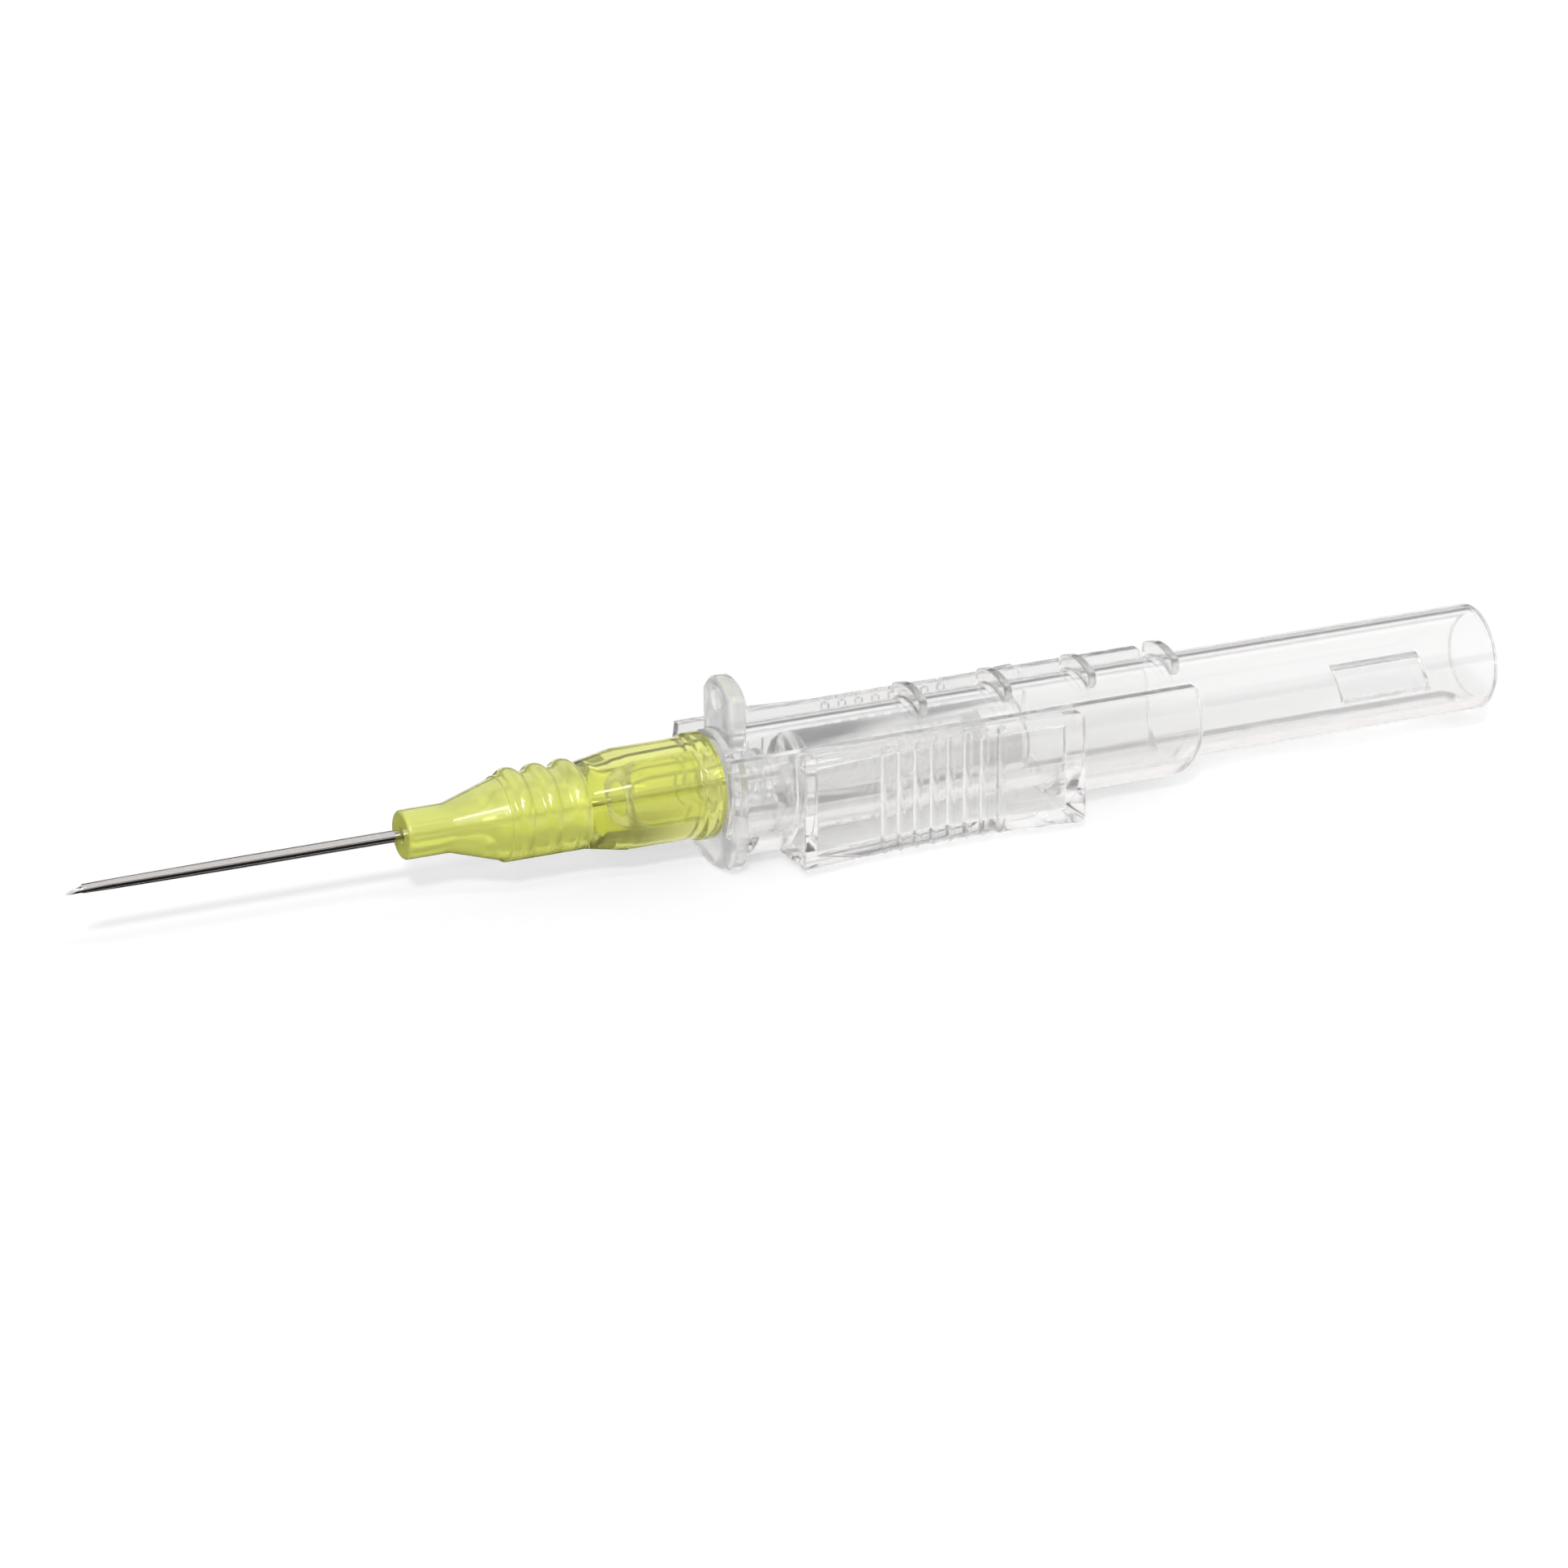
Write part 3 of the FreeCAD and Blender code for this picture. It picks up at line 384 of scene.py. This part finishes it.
def add_ripple(tree, shader, scale, strength, distance):
    """Give a shader the fine unevenness, on the surface's own normal unless another is
    linked in later. Returns the group's node."""
    node = tree.nodes.new("ShaderNodeGroup")
    node.node_tree = ripple_group()
    node.inputs["Scale"].default_value = scale
    node.inputs["Strength"].default_value = strength
    node.inputs["Distance"].default_value = distance
    geometry = tree.nodes.new("ShaderNodeNewGeometry")
    tree.links.new(geometry.outputs["Normal"], node.inputs["Normal"])
    tree.links.new(node.outputs["Normal"], shader.inputs["Normal"])
    return node


def grey_bounce(tree, shader, colour, grey):
    """Give a shader its colour, and a neutral grey for light that it sends to the floor."""
    path = tree.nodes.new("ShaderNodeLightPath")
    mix = tree.nodes.new("ShaderNodeMix")
    mix.data_type = "RGBA"
    mix.inputs["A"].default_value = rgba(colour)
    mix.inputs["B"].default_value = (grey, grey, grey, 1)
    tree.links.new(path.outputs["Diffuse Depth"], mix.inputs["Factor"])
    tree.links.new(mix.outputs["Result"], shader.inputs["Base Color"])


def light_shadow(tree, shader, amount):
    """Let part of the light through for shadow rays, as clear plastic does."""
    path = tree.nodes.new("ShaderNodeLightPath")
    share = math_node(tree, "MULTIPLY", path.outputs["Is Shadow Ray"], amount)
    clear = tree.nodes.new("ShaderNodeBsdfTransparent")
    lighter = mixed(tree, share, shader.outputs[0], clear.outputs[0])
    tree.links.new(lighter, tree.nodes["Material Output"].inputs["Surface"])


def clear_material(name, roughness, transmission):
    """Clear moulded plastic whose edges look slightly rounded."""
    material, tree, shader = new_material(name)
    set_inputs(shader, Base_Color=rgba(colours().clear), Roughness=roughness, IOR=1.56,
               Transmission_Weight=transmission)
    ripple = add_ripple(tree, shader, scale=260, strength=0.12, distance=0.00002)
    edges = tree.nodes.new("ShaderNodeBevel")
    edges.samples = 4
    edges.inputs["Radius"].default_value = EDGE_RADIUS
    tree.links.new(edges.outputs["Normal"], ripple.inputs["Normal"])
    light_shadow(tree, shader, 0.6)
    return material


def lime_material(name, colour, **finish):
    """Translucent lime plastic, with its finish given as the shader's sockets."""
    material, tree, shader = new_material(name)
    set_inputs(shader, IOR=1.5, **finish)
    grey_bounce(tree, shader, colour, 0.7)
    add_ripple(tree, shader, scale=420, strength=0.1, distance=0.00002)
    light_shadow(tree, shader, 0.5)
    return material


def hub_material():
    """The hub's polished rear, round the barrel."""
    return lime_material("lime_hub", colours().hub, Roughness=0.03, Transmission_Weight=0.9)


def frosted_material():
    """The hub's thick front, frosted under a smooth skin."""
    return lime_material("lime_frosted", colours().frosted, Roughness=0.2,
                         Transmission_Weight=0.6, Coat_Weight=0.7, Coat_Roughness=0.06)


def steel_material():
    """Bright drawn stainless steel."""
    material, tree, shader = new_material("needle_steel")
    set_inputs(shader, Base_Color=rgba(colours().steel), Metallic=1.0, Roughness=0.16)
    add_ripple(tree, shader, scale=3000, strength=0.03, distance=0.00001)
    return material


def catheter_material():
    """Half clear thin polymer tube over the steel."""
    material, tree, shader = new_material("catheter_polymer")
    set_inputs(shader, Base_Color=rgba(colours().catheter), Roughness=0.03, IOR=1.38,
               Transmission_Weight=1.0)
    add_ripple(tree, shader, scale=2400, strength=0.03, distance=0.00001)
    return material


def plug_material():
    """Matte white porous plastic with fine dark pores."""
    material, tree, shader = new_material("porous_plug")
    set_inputs(shader, Roughness=0.8)
    place = tree.nodes.new("ShaderNodeTexCoord")
    cells = tree.nodes.new("ShaderNodeTexVoronoi")
    cells.inputs["Scale"].default_value = 5200
    ramp = tree.nodes.new("ShaderNodeValToRGB")
    ramp.color_ramp.elements[0].color = tuple(0.7 * c for c in colours().plug) + (1,)
    ramp.color_ramp.elements[1].color = rgba(colours().plug)
    ramp.color_ramp.elements[1].position = 0.35
    bump = tree.nodes.new("ShaderNodeBump")
    bump.inputs["Distance"].default_value = 0.00003
    tree.links.new(place.outputs["Object"], cells.inputs["Vector"])
    tree.links.new(cells.outputs["Distance"], ramp.inputs["Fac"])
    tree.links.new(ramp.outputs["Color"], shader.inputs["Base Color"])
    tree.links.new(cells.outputs["Distance"], bump.inputs["Height"])
    tree.links.new(bump.outputs["Normal"], shader.inputs["Normal"])
    return material


# Pieces

def finish_piece(mesh, node, material, body):
    """Shade a mesh smooth between its creases and let it stand for a solid."""
    mesh.shade_smooth()
    mesh.set_sharp_from_angle(angle=sizes().crease_angle)
    piece = bpy.data.objects.new(mesh.name, mesh)
    bpy.context.scene.collection.objects.link(piece)
    mesh.materials.clear()
    mesh.materials.append(material)
    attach(piece, body)
    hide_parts(node)


def add_second_material(mesh, material, reach):
    """Give the faces whose centres lie within a reach along X a second material."""
    mesh.materials.append(material)
    centres = np.empty(3 * len(mesh.polygons))
    mesh.polygons.foreach_get("center", centres)
    x = (centres[::3] - HUB_REAR) / MM
    inside = (x > reach[0]) & (x < reach[1])
    mesh.polygons.foreach_set("material_index", inside.astype(np.int32))


def merged_copy(node, name):
    """A copy of a solid's mesh with its doubles merged and without its own normals."""
    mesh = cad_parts[node].data.copy()
    mesh.name = name
    merge_doubles(mesh, turn_outward=False)
    if "custom_normal" in mesh.attributes:
        mesh.attributes.remove(mesh.attributes["custom_normal"])
    return mesh


# Operators, one for each piece

class CANNULA_OT_needle(bpy.types.Operator):
    """Dress the steel needle"""
    bl_idname = "cannula.needle"
    bl_label = "Needle"

    def execute(self, context):
        profile = divided(eased(NEEDLE_PROFILE, reach=0.01, steps=3), longest=1.5)
        x, radius, angle = ring_grid(profile, turns=48)
        mesh = surface("ground_needle", ground_point(x, radius, angle), radius, angle)
        finish_piece(mesh, "needle", steel_material(), "housing")
        return {"FINISHED"}


class CANNULA_OT_catheter(bpy.types.Operator):
    """Dress the catheter tube and its ferrule"""
    bl_idname = "cannula.catheter"
    bl_label = "Catheter"

    def execute(self, context):
        tube = surface("catheter", *ring_grid(eased(TUBE_PROFILE, reach=0.15), turns=64))
        finish_piece(tube, "catheter_tube", catheter_material(), "catheter")
        funnel = surface("ferrule", *ring_grid(eased(FERRULE_PROFILE, reach=0.03), turns=64))
        finish_piece(funnel, "tube_ferrule", steel_material(), "catheter")
        return {"FINISHED"}


class CANNULA_OT_hub(bpy.types.Operator):
    """Dress the lime hub"""
    bl_idname = "cannula.hub"
    bl_label = "Hub"

    def execute(self, context):
        profile = divided(eased(HUB_PROFILE, reach=0.18), longest=0.09)
        x, radius, angle = ring_grid(profile, turns=112)
        mesh = surface("lime_hub", x, rib_radius(x, radius, angle), angle)
        finish_piece(mesh, "catheter_hub", hub_material(), "catheter")
        add_second_material(mesh, frosted_material(), FROST_REACH)
        return {"FINISHED"}


class CANNULA_OT_guard(bpy.types.Operator):
    """Dress the clear guard"""
    bl_idname = "cannula.guard"
    bl_label = "Guard"

    def execute(self, context):
        mesh = merged_copy("needle_guard", "clear_guard")
        polished = clear_material("clear_guard", *POLISHED)
        finish_piece(mesh, "needle_guard", polished, "guard")
        add_second_material(mesh, clear_material("satin_plate", *SATIN), PLATE_REACH)
        return {"FINISHED"}


class CANNULA_OT_housing(bpy.types.Operator):
    """Dress the clear channel with its grips and flash chamber"""
    bl_idname = "cannula.housing"
    bl_label = "Housing"

    def execute(self, context):
        mesh = merged_copy("needle_housing", "clear_channel")
        polished = clear_material("clear_channel", *POLISHED)
        finish_piece(mesh, "needle_housing", polished, "housing")
        return {"FINISHED"}


class CANNULA_OT_plug(bpy.types.Operator):
    """Dress the porous vent plug"""
    bl_idname = "cannula.plug"
    bl_label = "Vent plug"

    def execute(self, context):
        grid = ring_grid(np.array(PLUG_PROFILE), turns=64)
        mesh = surface("porous_plug", *grid, closed=False)
        finish_piece(mesh, "vent_plug", plug_material(), "housing")
        return {"FINISHED"}


def camera_axes():
    """The camera's right, up and back directions from its azimuth and elevation."""
    azimuth, elevation = sizes().camera_azimuth, sizes().camera_elevation
    right = Vector((math.cos(azimuth), math.sin(azimuth), 0))
    level = Vector((math.sin(azimuth), -math.cos(azimuth), 0))
    back = level * math.cos(elevation) + Vector((0, 0, math.sin(elevation)))
    return right, back.cross(right), back


def add_camera():
    """The camera at the photograph's viewing angle."""
    right, up, back = camera_axes()
    data = bpy.data.cameras.new("camera")
    data.lens = sizes().camera_lens
    data.sensor_width = 36
    camera = bpy.data.objects.new("camera", data)
    bpy.context.scene.collection.objects.link(camera)
    aim = Vector((HUB_REAR, 0, AXIS_HEIGHT))
    place = aim + back * sizes().camera_distance + right * sizes().camera_slide
    turn = Matrix((right, up, back)).transposed().to_4x4()
    camera.matrix_world = Matrix.Translation(place) @ turn
    bpy.context.scene.camera = camera


def add_area_light(name, place, aim, width, height, power):
    """A rectangular lamp at place that shines at aim."""
    data = bpy.data.lights.new(name, "AREA")
    data.shape = "RECTANGLE"
    data.size = width
    data.size_y = height
    data.energy = power
    lamp = bpy.data.objects.new(name, data)
    bpy.context.scene.collection.objects.link(lamp)
    lamp.location = place
    lamp.rotation_euler = (Vector(aim) - Vector(place)).to_track_quat("-Z", "Y").to_euler()


def add_sun(name, azimuth, elevation, spread, strength):
    """A broad even light from a direction, given as a camera's is."""
    data = bpy.data.lights.new(name, "SUN")
    data.angle = math.radians(spread)
    data.energy = strength
    lamp = bpy.data.objects.new(name, data)
    bpy.context.scene.collection.objects.link(lamp)
    turn, rise = math.radians(azimuth), math.radians(elevation)
    level = Vector((math.sin(turn), -math.cos(turn), 0))
    toward = level * math.cos(rise) + Vector((0, 0, math.sin(rise)))
    lamp.rotation_euler = toward.to_track_quat("Z", "Y").to_euler()


def seen_share(tree, path):
    """1 for camera, glossy and transmission rays, 0 for those that only carry light."""
    bent = math_node(tree, "MAXIMUM", path.outputs["Is Glossy Ray"],
                     path.outputs["Is Transmission Ray"])
    return math_node(tree, "MAXIMUM", bent, path.outputs["Is Camera Ray"])


def floor_material():
    """Matte white floor that keeps the shadow near the object and is plain white further
    off. Seen through clear plastic it is painted a little grey, as painted shade. Rays that met
    a mirror see it nearly black under the needle: a painted dark reflection with nothing there."""
    material, tree, shader = new_material("white_floor")
    set_inputs(shader, Base_Color=(0.95, 0.95, 0.95, 1), Roughness=0.9, Specular_IOR_Level=0.0)
    nodes, links = tree.nodes, tree.links
    place = nodes.new("ShaderNodeTexCoord")
    path = nodes.new("ShaderNodeLightPath")
    distance = nodes.new("ShaderNodeVectorMath")
    distance.operation = "LENGTH"
    split = nodes.new("ShaderNodeSeparateXYZ")
    links.new(place.outputs["Object"], distance.inputs[0])
    links.new(place.outputs["Object"], split.inputs[0])
    far = math_node(tree, "MULTIPLY", seen_share(tree, path),
                    mapped(tree, distance.outputs["Value"], WHITE_REACH, WHITE_SHARES))
    # Painted shade: rays through clear plastic see the floor mixed toward grey
    through = math_node(tree, "MULTIPLY",
                        math_node(tree, "MINIMUM", path.outputs["Transmission Depth"], 1),
                        mapped(tree, distance.outputs["Value"], PAINTED_SHADE_REACH, PAINTED_SHADE_SHARES))
    mirrored = math_node(tree, "MINIMUM", path.outputs["Glossy Depth"], 1)
    # Painted dark reflection: glossy rays see the floor nearly black in front of the hub
    painted_reflection_level = mapped(tree, split.outputs["X"], PAINTED_REFLECTION_REACH, PAINTED_REFLECTION_LEVELS)
    seen = mixed(tree, far, shader.outputs[0], glow(tree, WHITE, WHITE_LEVEL))
    seen = mixed(tree, through, seen, glow(tree, WHITE, PAINTED_SHADE_LEVEL))
    seen = mixed(tree, mirrored, seen, glow(tree, PAINTED_REFLECTION_COLOUR, painted_reflection_level))
    links.new(seen, nodes["Material Output"].inputs["Surface"])
    return material


def make_world():
    """Even white sky for light, and white to the camera. Glossy and transmission rays see a
    dark band in it, low behind the object, which draws the clear edges."""
    world = bpy.data.worlds.new("studio")
    world.use_nodes = True
    tree = world.node_tree
    nodes, links = tree.nodes, tree.links
    light = nodes["Background"]
    light.inputs["Color"].default_value = WHITE
    light.inputs["Strength"].default_value = SKY_LIGHT
    place = nodes.new("ShaderNodeTexCoord")
    split = nodes.new("ShaderNodeSeparateXYZ")
    bands = nodes.new("ShaderNodeValToRGB")
    stops = bands.color_ramp.elements
    for number, (height, level) in enumerate(SKY_BANDS):
        stop = stops[number] if number < 2 else stops.new(height)
        stop.position = height
        stop.color = (level, level, level, 1)
    banded = nodes.new("ShaderNodeBackground")
    plain = nodes.new("ShaderNodeBackground")
    plain.inputs["Color"].default_value = WHITE
    path = nodes.new("ShaderNodeLightPath")
    links.new(place.outputs["Generated"], split.inputs[0])
    links.new(split.outputs["Z"], bands.inputs["Fac"])
    links.new(bands.outputs["Color"], banded.inputs["Color"])
    sky = mixed(tree, seen_share(tree, path), light.outputs[0], banded.outputs[0])
    sky = mixed(tree, path.outputs["Is Camera Ray"], sky, plain.outputs[0])
    links.new(sky, nodes["World Output"].inputs["Surface"])
    return world


class CANNULA_OT_stage(bpy.types.Operator):
    """Add the white floor, the lamps, the world and the camera"""
    bl_idname = "cannula.stage"
    bl_label = "Stage"

    def execute(self, context):
        scene = context.scene
        scene.view_settings.view_transform = "Standard"
        scene.cycles.max_bounces = 24
        scene.cycles.glossy_bounces = 16
        scene.cycles.transmission_bounces = 24
        scene.cycles.transparent_max_bounces = 24
        floor = bpy.data.meshes.new("floor")
        half = 1.5
        floor.from_pydata([(-half, -half, 0), (half, -half, 0), (half, half, 0), (-half, half, 0)],
                          [], [(0, 1, 2, 3)])
        ground = bpy.data.objects.new("floor", floor)
        scene.collection.objects.link(ground)
        ground.location.z = CAD_BOX[0][2] - FLOOR_GAP
        floor.materials.append(floor_material())
        scene.world = make_world()
        add_sun("soft_sun", azimuth=-28, elevation=35, spread=5, strength=1.6)
        add_area_light("front_box", place=(-0.12, -0.32, 0.38), aim=(0, 0, 0),
                       width=0.30, height=0.05, power=0.5)
        add_camera()
        return {"FINISHED"}


OPERATORS = (
    CANNULA_OT_needle,
    CANNULA_OT_catheter,
    CANNULA_OT_hub,
    CANNULA_OT_guard,
    CANNULA_OT_housing,
    CANNULA_OT_plug,
    CANNULA_OT_stage,
)


class CANNULA_PT_panel(bpy.types.Panel):
    """Lists the cannula's pieces"""
    bl_label = "Cannula"
    bl_idname = "CANNULA_PT_panel"
    bl_space_type = "VIEW_3D"
    bl_region_type = "UI"
    bl_category = "Cannula"

    def draw(self, context):
        for operator in OPERATORS:
            self.layout.operator(operator.bl_idname)


CLASSES = (CannulaSizes, CannulaColours, *OPERATORS, CANNULA_PT_panel)


def register():
    """Register the classes and the scene's settings."""
    for cls in CLASSES:
        bpy.utils.register_class(cls)
    bpy.types.Scene.cannula_sizes = PointerProperty(type=CannulaSizes)
    bpy.types.Scene.cannula_colours = PointerProperty(type=CannulaColours)


def unregister():
    """Take the settings and the classes away again."""
    del bpy.types.Scene.cannula_sizes
    del bpy.types.Scene.cannula_colours
    for cls in reversed(CLASSES):
        bpy.utils.unregister_class(cls)


def main():
    """Build every piece and the stage."""
    register()
    bpy.ops.cannula.needle()
    bpy.ops.cannula.catheter()
    bpy.ops.cannula.hub()
    bpy.ops.cannula.guard()
    bpy.ops.cannula.housing()
    bpy.ops.cannula.plug()
    bpy.ops.cannula.stage()


if __name__ == "__main__":
    main()
